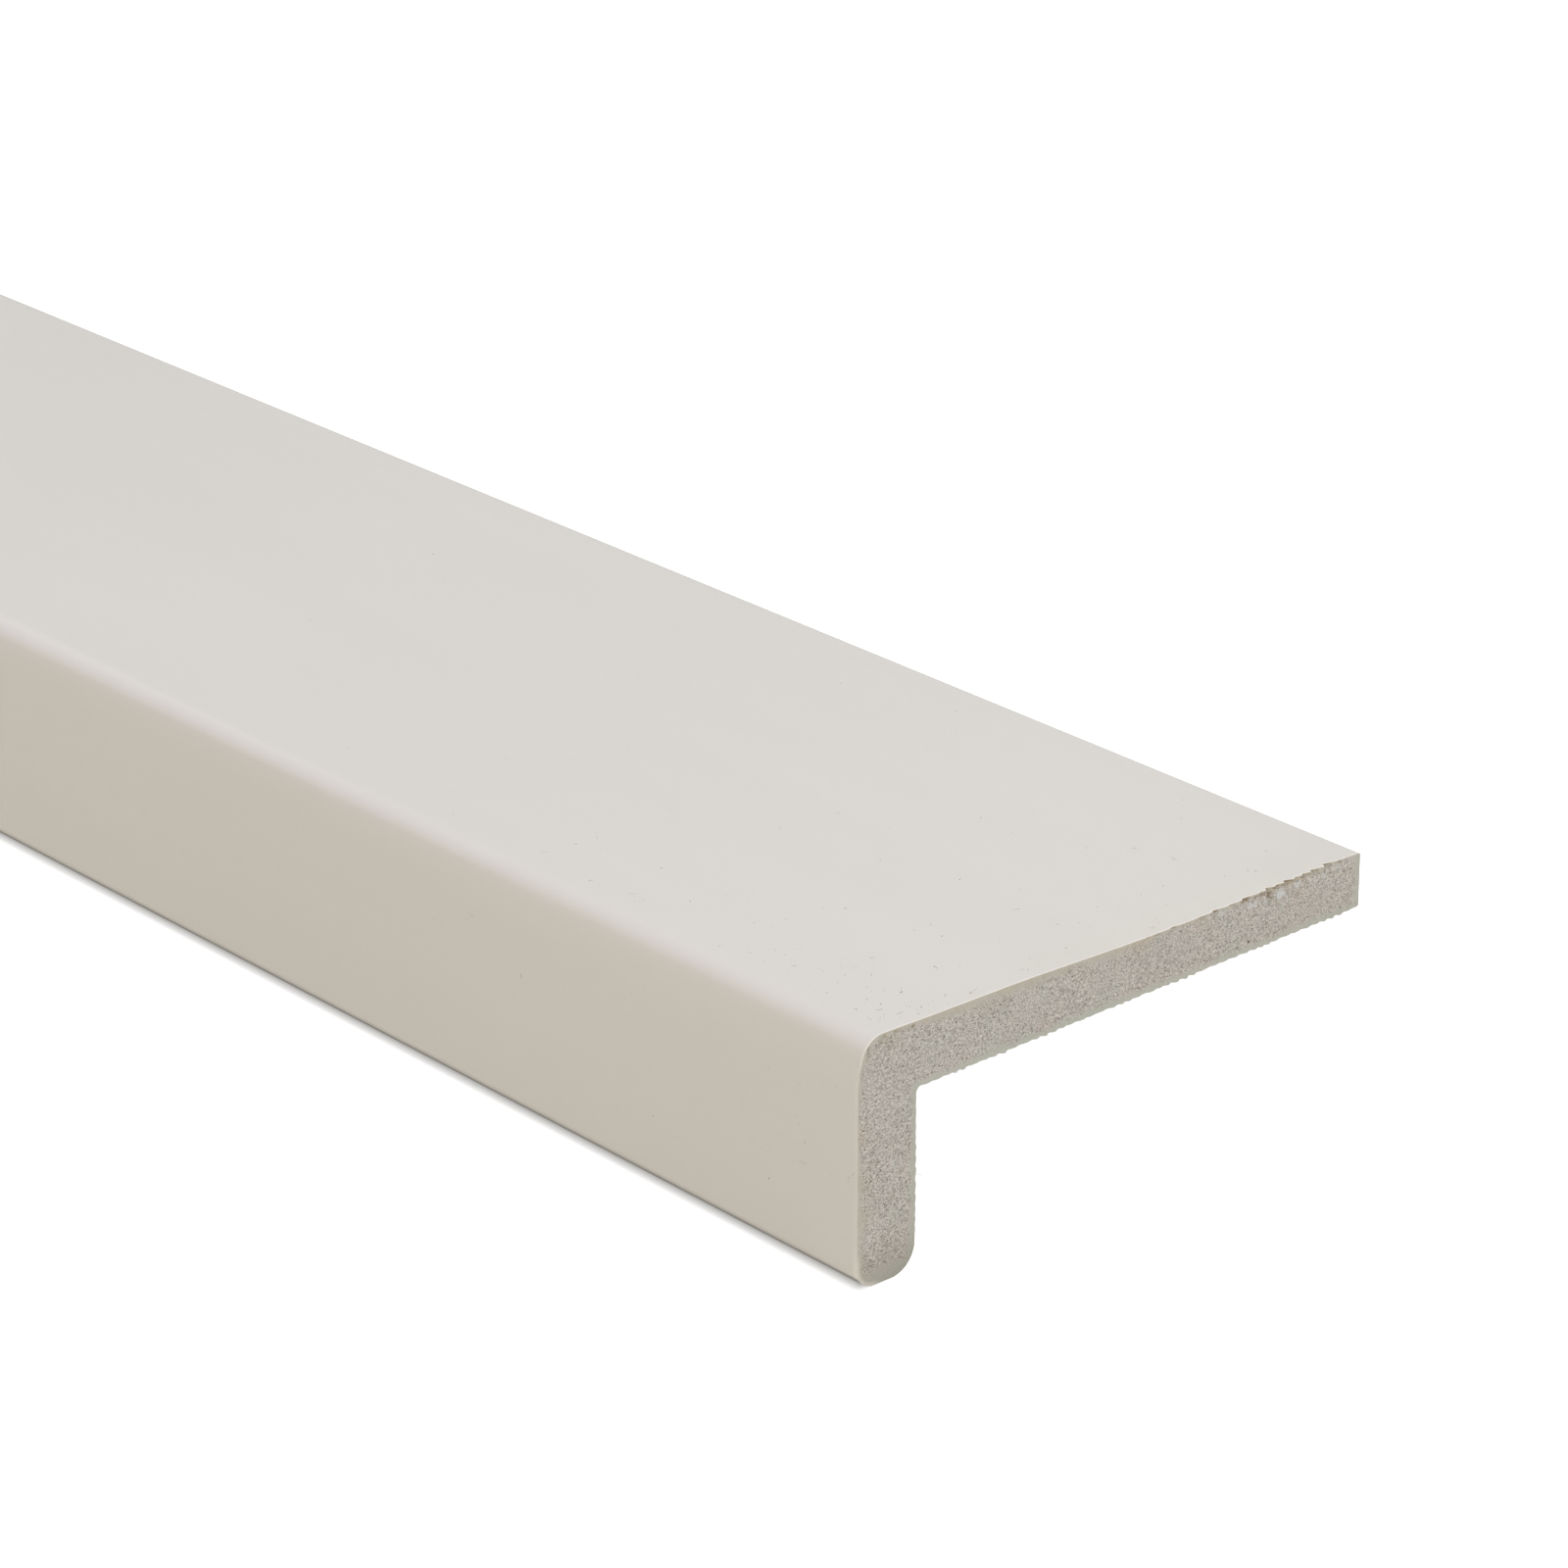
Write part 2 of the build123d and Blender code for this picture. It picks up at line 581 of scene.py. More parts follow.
# painted highlight along the cut edge of the skin, partly skin rubbed pale by the saw
def cutHighlightAt(y, z, back):
    cfg = cutHighlightLine
    if y < cfg["legUntil"] and z < -noseReach:
        share = cfg["onLeg"] + cfg["towardsToe"] * smoothStep(*cfg["toeFrom"], z)
        return share * (1 - smoothStep(*cfg["legWidth"], back))
    return 1 - smoothStep(*cfg["width"], back)


# Marks of the toe: the pale rim where the saw rolled the skin over, partly a painted highlight on its
# rounding, and the painted shade where its round turns under, towards the ground, in degrees
toeMarks = {
    "rimBelow": (6.5, 3.0),
    "rimWidth": (0.3, 0.8),
    "rimUntil": (2.5, 4.5),
    "darkFrom": (17.0, 36.0),
    "darkUntil": (66.0, 88.0),
}


# the pale rim of skin round the toe on the cut, lightened as a painted highlight on its rounding
def toeRimHighlightAt(y, z):
    cfg = toeMarks
    low = board["toeFaceRadius"]
    up = z + board["legHeight"]
    inward = low - hypot(low - y, low - up) if y < low and up < low else min(y, up)
    rim = smoothStep(*cfg["rimBelow"], up) * (1 - smoothStep(*cfg["rimWidth"], inward))
    return rim * (1 - smoothStep(*cfg["rimUntil"], y))


# painted shade: darkens the part of the toe's round that turns under, towards the ground
def paintedToeShade(y, z):
    low = board["toeFaceRadius"]
    if y > low or z > low - board["legHeight"]:
        return 0.0
    turned = degrees(atan2(low - board["legHeight"] - z, low - y))
    return window(toeMarks["darkFrom"], toeMarks["darkUntil"], turned)


# What the finish reads on each vertex; the first ones are only on the sawn ends
foamMarks = ("skinDepth", "backDepth", "toeDepth", "core", "shadedPit", "pale", "scarAndShade", "toeRimHighlight")
markNames = (*foamMarks, "fromCut", "toeShadeMark", "rubbedHighlight")
skinSlot, backSlot, foamSlot = range(3)


def carveSawnEnd(bm, verts, tearing, strength):
    # moves the cells of one sawn end in, and writes on each vertex what the finish reads
    cfg = sawnEnd
    near, length = boardMesh["near"], topRoll["length"]
    marks = [bm.verts.layers.float[name] for name in foamMarks]
    rubbedHighlight = bm.verts.layers.float["rubbedHighlight"]
    for vert, back, outward in verts:
        y, z = vert.co.yz
        skin, bare, toToe = depths(y, z)
        under = backOfFlange(y)
        onTop = y > noseReach and z > under - near
        # painted highlight along the cut
        vert[rubbedHighlight] = cutHighlightAt(y, z, back)
        if back < near:
            depth, hollow, values = foamRelief(y, z, tearing)
            for mark, value in zip(marks, values):
                vert[mark] = value
            rim = smoothStep(0.0, cfg["skinRim"], skin) * smoothStep(0.0, cfg["backRim"], bare)
            depth *= strength * fromLeast(cfg["rimRelief"], rim)
            vert.co.x -= outward * (depth + hollow)
        elif tearing and onTop and skin < near and back < length:
            vert.co.x -= outward * tornAt(y, 0.0) * (1 - back / length)
        if onTop:
            share = max(0.0, 1 - z / under) ** topRoll["fading"]
            vert.co.z -= tearing * (1 - smoothStep(0.0, length, back)) * topSink(y) * share
        if bare < burrTeeth["edge"] and back < burrTeeth["back"] and toToe > burrTeeth["aboveToe"]:
            raiseBurr(vert, y, z, back, strength)


# Which way a face has to look for each finish
facing = {
    "sawn": 0.9,
    "underFlange": -0.5,
    "insideLeg": 0.1,
    "slack": 0.05,           # mm past the wall of the leg
}


def sortFaces(bm):
    # gives each face its finish by where it lies and which way it looks
    wall = board["legThickness"]
    innerRound = wall + board["innerCornerRadius"]
    for face in bm.faces:
        y = face.calc_center_median().y
        face.smooth = True
        sawn = abs(face.normal.x) > facing["sawn"]
        underFlange = y > wall - facing["slack"] and face.normal.z < facing["underFlange"]
        insideLeg = y < innerRound and face.normal.y > facing["insideLeg"]
        face.material_index = foamSlot if sawn else backSlot if underFlange or insideLeg else skinSlot
    for edge in bm.edges:
        if len({f.material_index for f in edge.link_faces}) > 1:
            edge.smooth = False


def turnAbout(bm, verts, axis, angle):
    bmesh.ops.rotate(bm, verts=verts, cent=(0, 0, 0), matrix=Matrix.Rotation(angle, 3, axis))


def layDown(bm, place=None):
    # turns a mesh by the board's tilt and sets it down in metres. The board itself finds its place
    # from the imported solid's box, and tells where its own origin went
    turnAbout(bm, bm.verts[:], "X", -restTilt())
    bmesh.ops.scale(bm, verts=bm.verts[:], vec=(mm, mm, mm))
    if place is None:
        low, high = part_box("fascia_board")
        ys = [v.co.y for v in bm.verts]
        zs = [v.co.z for v in bm.verts]
        place = Vector((high.x, (low.y + high.y - min(ys) - max(ys)) / 2, low.z - min(zs)))
    bmesh.ops.translate(bm, verts=bm.verts[:], vec=place)
    return place


def newObject(name, bm):
    mesh = bpy.data.meshes.new(name)
    bm.to_mesh(mesh)
    bm.free()
    thing = bpy.data.objects.new(name, mesh)
    bpy.context.scene.collection.objects.link(thing)
    return thing


def makeBoard():
    bm = makeBoardMesh()
    for name in markNames:
        bm.verts.layers.float.new(name)
    sortFaces(bm)
    fromCut, toeShadeMark = (bm.verts.layers.float[name] for name in ("fromCut", "toeShadeMark"))
    reach = boardMesh["lengthCuts"][0]
    near, far = [], []
    for vert in bm.verts:
        toNear, toFar = -vert.co.x, board["length"] + vert.co.x
        vert[fromCut] = min(toNear, toFar)
        vert[toeShadeMark] = paintedToeShade(vert.co.y, vert.co.z)
        if toNear < reach:
            near.append((vert, toNear, 1))
        elif toFar < reach:
            far.append((vert, toFar, -1))
    carveSawnEnd(bm, near, tearing=1.0, strength=1.0)
    carveSawnEnd(bm, far, tearing=0.0, strength=sawnEnd["farStrength"])
    place = layDown(bm)
    piece = newObject("fasciaBoard", bm)
    triangles = sum(len(p.vertices) - 2 for p in piece.data.polygons)
    print("board carved:", triangles, "triangles")
    return piece, place


# Swarf that the saw left on the skin: crumbs and fine curls, in millimetres
swarf = {
    "seed": 7,
    "crumbs": 165,
    "crumbSize": (0.04, 0.13),
    "crumbRough": (-0.3, 0.3),
    "crumbForm": ((0.8, 1.6), (0.7, 1.1), (0.4, 0.7)),     # length, width and height
    "curls": 34,
    "curlThickness": (0.018, 0.032),
    "curlBend": (0.35, 1.6),        # radius of a curl
    "curlLength": (0.4, 1.4),
    "curlRise": (-0.004, 0.012),
    "mostSweep": 5.0,
    "turn": (0, 6.28),              # any way round
    "sides": 5,                     # of a curl, and pieces along it
    "facets": 7,
    "topShare": 0.84,               # the rest clings to the face of the leg
    "clear": 1.2,                   # bare strip along the cut
    "leastClear": 0.3,
    "nearShare": 0.5,               # share that lies near the cut
    "nearCut": 10.0,                # their mean distance from it
    "farther": 45.0,                # the same of the rest
    "reach": 190.0,
    "besideShare": 0.5,             # share that gathers beside the nose
    "besideNose": 12.0,             # their mean distance from the first place across
    "across": (6.5, 96.0),
    "strewn": 88.0,
    "down": (7, 32),                # on the face of the leg
    "sunk": 0.005,
}

# Crumbs on the face of the leg (back from the cut, down from the top), a grain of grit pressed
# into the sawn end, and a fibre that hangs from the inside of the leg
faceCrumbs = ((2.0, 21.5), (1.9, 22.1), (2.3, 22.5))
grit = {
    "across": 76.82,
    "height": -7.68,
    "wide": 0.30,
    "tall": 0.24,
    "deep": 0.20,
    "lean": 0.5,
    "under": 0.01,           # it stays this far inside the saw plane
}
fibre = {"across": 10.75, "height": -23.9, "thick": 0.04, "bend": 2.2, "sweep": 0.75, "back": 0.12}
ontoFace = Matrix.Rotation(pi / 2, 3, "X")     # from the top of the flange onto the face of the leg
gritSlot = 1                 # the grit takes the second finish


def swarfSpot(dice):
    # a spot on the skin, thick near the cut and beside the nose, and the turn onto that face
    cfg = swarf
    spread = cfg["nearCut"] if dice.random() < cfg["nearShare"] else cfg["farther"]
    along = min(cfg["reach"], cfg["clear"] + dice.expovariate(1 / spread))
    if dice.random() < cfg["topShare"]:
        beside = dice.random() < cfg["besideShare"]
        first, last = cfg["across"]
        y = first + (dice.expovariate(1 / cfg["besideNose"]) if beside else dice.uniform(0, cfg["strewn"]))
        y = min(y, last)
        sunk = topSink(y) * (1 - smoothStep(0.0, topRoll["length"], along))
        return Vector((-along, y, -sunk)), Matrix.Identity(3)
    z = -dice.uniform(*cfg["down"])
    return Vector((-along, faceAt(z), z)), ontoFace


def addCrumb(bm, dice, spot, turn):
    cfg = swarf
    size = dice.uniform(*cfg["crumbSize"])
    verts = bmesh.ops.create_icosphere(bm, subdivisions=1, radius=size)["verts"]
    for vert in verts:
        vert.co *= 1 + dice.uniform(*cfg["crumbRough"])
    bmesh.ops.scale(bm, verts=verts, vec=[dice.uniform(*span) for span in cfg["crumbForm"]])
    turnAbout(bm, verts, "Z", dice.uniform(*cfg["turn"]))
    settle(bm, verts, spot, turn)


def sweepFibre(bm, thick, bend, sweep, rise):
    # a short round fibre that starts at the origin along y and bends towards low x
    tip = bmesh.ops.create_circle(bm, cap_ends=True, segments=swarf["sides"], radius=thick)
    turnAbout(bm, tip["verts"], "X", pi / 2)
    faces = list({f for v in tip["verts"] for f in v.link_faces})
    before = set(bm.verts) - set(tip["verts"])
    bmesh.ops.spin(
        bm,
        geom=tip["verts"] + faces,
        cent=(-bend, 0, 0),
        axis=(0, 0, 1),
        angle=sweep,
        steps=swarf["facets"],
        dvec=(0, 0, rise),
    )
    return list(set(bm.verts) - before)


def addCurl(bm, dice, spot, turn):
    cfg = swarf
    thick = dice.uniform(*cfg["curlThickness"])
    bend = dice.uniform(*cfg["curlBend"])
    sweep = min(cfg["mostSweep"], dice.uniform(*cfg["curlLength"]) / bend)
    verts = sweepFibre(bm, thick, bend, sweep, dice.uniform(*cfg["curlRise"]))
    turnAbout(bm, verts, "Z", dice.uniform(*cfg["turn"]))
    settle(bm, verts, spot, turn)


def settle(bm, verts, spot, turn):
    # lets a bit of swarf down on the skin and turns it onto its face
    lowest = min(v.co.z for v in verts)
    bmesh.ops.translate(bm, verts=verts, vec=(0, 0, -lowest - swarf["sunk"]))
    bmesh.ops.rotate(bm, verts=verts, cent=(0, 0, 0), matrix=turn)
    bmesh.ops.translate(bm, verts=verts, vec=spot)
    past = max(v.co.x for v in verts) + swarf["leastClear"]
    if past > 0:
        bmesh.ops.translate(bm, verts=verts, vec=(-past, 0, 0))


def addGrit(bm):
    # it lies half sunk in the foam
    known = set(bm.faces)
    verts = bmesh.ops.create_icosphere(bm, subdivisions=2, radius=1.0)["verts"]
    bmesh.ops.scale(bm, verts=verts, vec=(grit["deep"], grit["wide"], grit["tall"]))
    turnAbout(bm, verts, "X", grit["lean"])
    spot = (-grit["under"] - grit["deep"], grit["across"], grit["height"])
    bmesh.ops.translate(bm, verts=verts, vec=spot)
    for face in set(bm.faces) - known:
        face.material_index = gritSlot


def addFibre(bm):
    verts = sweepFibre(bm, fibre["thick"], fibre["bend"], fibre["sweep"], 0)
    turnAbout(bm, verts, "Y", -pi / 2)
    bmesh.ops.translate(bm, verts=verts, vec=(-fibre["back"], fibre["across"], fibre["height"]))


def makeSwarf(place):
    dice = Random(swarf["seed"])
    bm = bmesh.new()
    for count, add in ((swarf["crumbs"], addCrumb), (swarf["curls"], addCurl)):
        for item in range(count):
            add(bm, dice, *swarfSpot(dice))
    for along, down in faceCrumbs:
        addCrumb(bm, dice, Vector((-along, 0, -down)), ontoFace)
    addGrit(bm)
    addFibre(bm)
    bmesh.ops.recalc_face_normals(bm, faces=bm.faces[:])
    for face in bm.faces:
        face.smooth = True
    layDown(bm, place)
    piece = newObject("sawSwarf", bm)
    print("swarf strewn:", len(piece.data.polygons), "faces")
    return piece


# Finishes

finish = {
    "skin": (0.800, 0.735, 0.640),
    "cutHighlightTint": (0.940, 0.855, 0.740),
    "paintedToeShade": (0.420, 0.410, 0.400),
    "core": (0.689, 0.633, 0.562),
    "denseSkin": (0.700, 0.638, 0.520),
    "denseBack": (0.665, 0.642, 0.545),
    "denseFoamAndToeShade": (0.560, 0.525, 0.452),
    "warm": (0.660, 0.570, 0.430),
    "rosy": (1.020, 0.993, 0.995),
    "mossy": (0.990, 1.000, 0.995),
    "grainDark": (0.555, 0.524, 0.485),
    "grainLight": (1.290, 1.290, 1.290),
    "shadedPit": (0.270, 0.225, 0.180),
    "pale": (0.880, 0.868, 0.835),
    "scarAndShade": (0.370, 0.280, 0.165),
    "back": (0.760, 0.700, 0.610),
    "speck": (0.300, 0.260, 0.210),
    "swarf": (0.560, 0.520, 0.450),
    "grit": (0.100, 0.080, 0.065),
}


def rgba(colour):
    return (*colour, 1.0)


def newGroup(name, inputs, outputs):
    tree = bpy.data.node_groups.new(name, "ShaderNodeTree")
    for label, kind, value in inputs:
        socket = tree.interface.new_socket(name=label, in_out="INPUT", socket_type=kind)
        if value is not None:
            socket.default_value = value
    for label, kind in outputs:
        tree.interface.new_socket(name=label, in_out="OUTPUT", socket_type=kind)
    return tree, tree.nodes.new("NodeGroupInput"), tree.nodes.new("NodeGroupOutput")


def feed(tree, socket, value):
    # links another node's output to a socket, or sets the socket's own value
    if isinstance(value, bpy.types.NodeSocket):
        tree.links.new(value, socket)
    else:
        socket.default_value = value


def addMath(tree, kind, first, second, clamped=False):
    node = tree.nodes.new("ShaderNodeMath")
    node.operation = kind
    node.use_clamp = clamped
    for socket, value in zip(node.inputs, (first, second)):
        feed(tree, socket, value)
    return node.outputs[0]


def addRange(tree, value, low, high, outLow=0.0, outHigh=1.0):
    node = tree.nodes.new("ShaderNodeMapRange")
    node.interpolation_type = "SMOOTHSTEP"
    tree.links.new(value, node.inputs["Value"])
    for label, number in (("From Min", low), ("From Max", high), ("To Min", outLow), ("To Max", outHigh)):
        feed(tree, node.inputs[label], number)
    return node.outputs["Result"]


def addMix(tree, share, first, second, blend="MIX"):
    node = tree.nodes.new("ShaderNodeMix")
    node.data_type = "RGBA"
    node.blend_type = blend
    for place, value in ((0, share), (6, first), (7, second)):
        feed(tree, node.inputs[place], rgba(value) if isinstance(value, tuple) else value)
    return node.outputs[2]


def addNoise(tree, vector, scale, detail):
    node = tree.nodes.new("ShaderNodeTexNoise")
    tree.links.new(vector, node.inputs["Vector"])
    feed(tree, node.inputs["Scale"], scale)
    node.inputs["Detail"].default_value = detail
    return node.outputs["Fac"]


def makeToneGroup():
    # slow drift and fine grain of tone, as a factor on a colour
    tree, start, end = newGroup(
        "toneDrift",
        (
            ("Vector", "NodeSocketVector", None),
            ("Colour", "NodeSocketColor", None),
            ("Drift", "NodeSocketFloat", 0.03),
            ("Grain", "NodeSocketFloat", 0.02),
            ("Grain Scale", "NodeSocketFloat", 1500.0),
        ),
        (("Colour", "NodeSocketColor"),),
    )
    slow = addNoise(tree, start.outputs["Vector"], scale=7.0, detail=2.0)
    fine = addNoise(tree, start.outputs["Vector"], scale=start.outputs["Grain Scale"], detail=2.0)
    slowPart = addMath(tree, "MULTIPLY", addMath(tree, "SUBTRACT", slow, 0.5), start.outputs["Drift"])
    finePart = addMath(tree, "MULTIPLY", addMath(tree, "SUBTRACT", fine, 0.5), start.outputs["Grain"])
    factor = addMath(tree, "ADD", addMath(tree, "ADD", slowPart, finePart), 1.0)
    scale = tree.nodes.new("ShaderNodeVectorMath")
    scale.operation = "SCALE"
    tree.links.new(start.outputs["Colour"], scale.inputs[0])
    tree.links.new(factor, scale.inputs["Scale"])
    tree.links.new(scale.outputs[0], end.inputs["Colour"])
    return tree


def makeSpeckGroup():
    # scattered specks of dust: a mask that grows denser with Amount
    tree, start, end = newGroup(
        "dustSpecks",
        (
            ("Vector", "NodeSocketVector", None),
            ("Scale", "NodeSocketFloat", 330.0),
            ("Size", "NodeSocketFloat", 0.045),
            ("Amount", "NodeSocketFloat", 0.2),
        ),
        (("Mask", "NodeSocketFloat"),),
    )
    cell = tree.nodes.new("ShaderNodeTexVoronoi")
    tree.links.new(start.outputs["Vector"], cell.inputs["Vector"])
    tree.links.new(start.outputs["Scale"], cell.inputs["Scale"])
    split = tree.nodes.new("ShaderNodeSeparateColor")
    tree.links.new(cell.outputs["Color"], split.inputs[0])
    dot = addRange(tree, cell.outputs["Distance"], start.outputs["Size"], 0.0)
    chosen = addMath(tree, "LESS_THAN", split.outputs[0], start.outputs["Amount"])
    strength = addMath(tree, "MULTIPLY", addMath(tree, "MULTIPLY", dot, chosen), split.outputs[1])
    tree.links.new(strength, end.inputs["Mask"])
    return tree


toneGroup = makeToneGroup()
speckGroup = makeSpeckGroup()


def newFinish(name, roughness):
    material = bpy.data.materials.new(name)
    material.use_nodes = True
    tree = material.node_tree
    shader = next(n for n in tree.nodes if n.type == "BSDF_PRINCIPLED")
    shader.inputs["Roughness"].default_value = roughness
    place = tree.nodes.new("ShaderNodeTexCoord").outputs["Object"]
    return material, tree, shader, place


def addGroup(tree, group, **values):
    node = tree.nodes.new("ShaderNodeGroup")
    node.node_tree = group
    for label, value in values.items():
        feed(tree, node.inputs[label.replace("_", " ")], value)
    return node.outputs[0]


def addMark(tree, name):
    node = tree.nodes.new("ShaderNodeAttribute")
    node.attribute_name = name
    return node.outputs["Fac"]


def addBump(tree, shader, height, strength, distance):
    node = tree.nodes.new("ShaderNodeBump")
    node.inputs["Strength"].default_value = strength
    node.inputs["Distance"].default_value = distance
    tree.links.new(height, node.inputs["Height"])
    tree.links.new(node.outputs["Normal"], shader.inputs["Normal"])


def stretch(tree, place, factors):
    # the same place with each axis scaled
    scaled = tree.nodes.new("ShaderNodeVectorMath")
    scaled.operation = "MULTIPLY"
    tree.links.new(place, scaled.inputs[0])
    scaled.inputs[1].default_value = factors
    return scaled.outputs[0]


def addTone(tree, place, colour, look):
    return addGroup(
        tree, toneGroup, Vector=place, Colour=rgba(colour), Drift=look["drift"], Grain=look["grain"]
    )


def addDust(tree, place, look, amount, surface):
    specks = addGroup(
        tree, speckGroup, Vector=place, Scale=look["dustScale"], Size=look["dustSize"], Amount=amount
    )
    return addMix(tree, addMath(tree, "MULTIPLY", specks, look["dustShows"]), surface, finish["speck"])


skinLook = {
    "roughness": 0.43,
    "roughRange": (0.40, 0.46),
    "drift": 0.05,
    "grain": 0.02,
    "dustScale": 330.0,
    "dustSize": 0.07,
    "dust": 0.05,            # amount of dust, and what is added near the cut
    "dustNearCut": 0.25,
    "dustReach": (70.0, 3.0),
    "dustShows": 0.30,
    "drawn": (0.03, 1.0, 1.0),
    "streakScale": 260.0,
    "streakRange": (0.3, 0.7),
    "streakHeight": 0.6,
    "peelScale": 900.0,
    "peelHeight": 0.4,
    "relief": (0.10, 0.00006),
}


def makeSkinFinish():
    look = skinLook
    material, tree, shader, place = newFinish("satinCreamSkin", look["roughness"])
    tone = addTone(tree, place, finish["skin"], look)
    nearCut = addRange(tree, addMark(tree, "fromCut"), *look["dustReach"])
    amount = addMath(tree, "ADD", addMath(tree, "MULTIPLY", nearCut, look["dustNearCut"]), look["dust"])
    dusted = addDust(tree, place, look, amount, tone)
    # the pale line along the cut: painted highlight, partly skin rubbed pale by the saw
    rubbedHighlight = addMix(tree, addMark(tree, "rubbedHighlight"), dusted, finish["cutHighlightTint"])
    # painted shade under the toe's round, where it faces the ground
    shown = addMix(tree, addMark(tree, "toeShadeMark"), rubbedHighlight, finish["paintedToeShade"], "MULTIPLY")
    tree.links.new(shown, shader.inputs["Base Color"])
    streaks = addNoise(tree, stretch(tree, place, look["drawn"]), look["streakScale"], detail=2.0)
    peel = addNoise(tree, place, look["peelScale"], detail=2.0)
    rough = addRange(tree, streaks, *look["streakRange"], *look["roughRange"])
    tree.links.new(rough, shader.inputs["Roughness"])
    raised = addMath(tree, "MULTIPLY", streaks, look["streakHeight"])
    height = addMath(tree, "ADD", raised, addMath(tree, "MULTIPLY", peel, look["peelHeight"]))
    addBump(tree, shader, height, *look["relief"])
    return material


backLook = {
    "roughness": 0.6,
    "roughRange": (0.52, 0.66),
    "drift": 0.06,
    "grain": 0.05,
    "drawn": (0.02, 1.0, 1.0),
    "streakScale": 420.0,
    "streakRange": (0.3, 0.7),
    "darkRange": (0.35, 0.75),
    "darkShows": (0.0, 0.3),
    "dustScale": 300.0,
    "dustSize": 0.09,
    "dust": 0.2,
    "dustShows": 0.4,
    "relief": (0.25, 0.00012),
}


def makeBackFinish():
    look = backLook
    material, tree, shader, place = newFinish("bareFoamBack", look["roughness"])
    streaks = addNoise(tree, stretch(tree, place, look["drawn"]), look["streakScale"], detail=3.0)
    tone = addTone(tree, place, finish["back"], look)
    darkness = addRange(tree, streaks, *look["darkRange"], *look["darkShows"])
    dark = addMix(tree, darkness, tone, finish["denseFoamAndToeShade"])
    dusted = addDust(tree, place, look, look["dust"], dark)
    tree.links.new(dusted, shader.inputs["Base Color"])
    rough = addRange(tree, streaks, *look["streakRange"], *look["roughRange"])
    tree.links.new(rough, shader.inputs["Roughness"])
    addBump(tree, shader, streaks, *look["relief"])
    return material


# Sawn foam. Ranges of depth are in millimetres, and each share says how much a mark shows
foamLook = {
    "roughness": 0.8,
    "rind": (0.4, 1.8),
    "aboveToe": (0.0, 8.0),
    "warmScale": 260.0,
    "warmRange": (0.45, 0.68),
    "warmShows": (0.0, 0.5),
    "warmReach": (4.0, 0.6),
    "blotchScale": 210.0,
    "blotchRange": (0.35, 0.65),
    "upright": (1.0, 1.0, 1.7),
    "grainScale": 3900.0,
    "grainRange": (0.26, 0.68),
    "grainCore": (0.1, 1.0),
    "grainShows": (0.2, 1.0),
    "poreScale": 1400.0,
    "poreSize": 0.50,
    "poreAmount": 0.8,
    "poreEdge": 1.9,
    "poreShows": 0.9,
    "pitShows": 0.18,
    "paleShows": 0.7,
    "scarShows": 0.95,
    "rimShows": 0.7,
    "drift": 0.05,
    "fineGrain": 0.05,
    "fineScale": 5200.0,
    "relief": (0.25, 0.0002),
}


def makeFoamFinish():
    look = foamLook
    material, tree, shader, place = newFinish("sawnFoam", look["roughness"])
    skinDepth, backDepth, toeDepth, core, shadedPit, pale, scarAndShade, toeRimHighlight = (addMark(tree, n) for n in foamMarks)
    rind = addMix(tree, addRange(tree, backDepth, *look["rind"]), finish["denseBack"], finish["denseSkin"])
    body = addMix(tree, core, rind, finish["core"])
    # near the toe the foam is darker: denser foam, and painted shade near the ground
    body = addMix(tree, addRange(tree, toeDepth, *look["aboveToe"]), finish["denseFoamAndToeShade"], body)
    warmNoise = addNoise(tree, place, look["warmScale"], detail=2.0)
    warmth = addRange(tree, warmNoise, *look["warmRange"], *look["warmShows"])
    nearSkin = addRange(tree, skinDepth, *look["warmReach"])
    warmed = addMix(tree, addMath(tree, "MULTIPLY", warmth, nearSkin), body, finish["warm"])
    blotch = addRange(tree, addNoise(tree, place, look["blotchScale"], detail=1.0), *look["blotchRange"])
    hued = addMix(tree, 1.0, warmed, addMix(tree, blotch, finish["mossy"], finish["rosy"]), "MULTIPLY")
    upright = stretch(tree, place, look["upright"])
    grain = addNoise(tree, upright, look["grainScale"], detail=1.0)
    grainTone = addRange(tree, grain, *look["grainRange"])
    grains = addMix(tree, grainTone, finish["grainDark"], finish["grainLight"])
    grainShare = addRange(tree, core, *look["grainCore"], *look["grainShows"])
    surface = addMix(tree, grainShare, hued, grains, "MULTIPLY")
    dots = addGroup(
        tree,
        speckGroup,
        Vector=upright,
        Scale=look["poreScale"],
        Size=look["poreSize"],
        Amount=look["poreAmount"],
    )
    crisp = addMath(tree, "MULTIPLY", dots, look["poreEdge"], clamped=True)
    pores = addMath(tree, "MULTIPLY", crisp, core)
    for mark, share, colour in (
        # pores and pits painted dark: painted shade in the hollows
        (pores, "poreShows", "shadedPit"),
        (shadedPit, "pitShows", "shadedPit"),
        # pale swells: crushed foam, lightened partly as a painted highlight
        (pale, "paleShows", "pale"),
        # brown spots: partly painted shade under the torn skin, partly its brown section
        (scarAndShade, "scarShows", "scarAndShade"),
        # the toe's skin rim, lightened as a painted highlight
        (toeRimHighlight, "rimShows", "cutHighlightTint"),
    ):
        surface = addMix(tree, addMath(tree, "MULTIPLY", mark, look[share]), surface, finish[colour])
    shown = addGroup(
        tree,
        toneGroup,
        Vector=place,
        Colour=surface,
        Drift=look["drift"],
        Grain=look["fineGrain"],
        Grain_Scale=look["fineScale"],
    )
    tree.links.new(shown, shader.inputs["Base Color"])
    addBump(tree, shader, grain, *look["relief"])
    return material


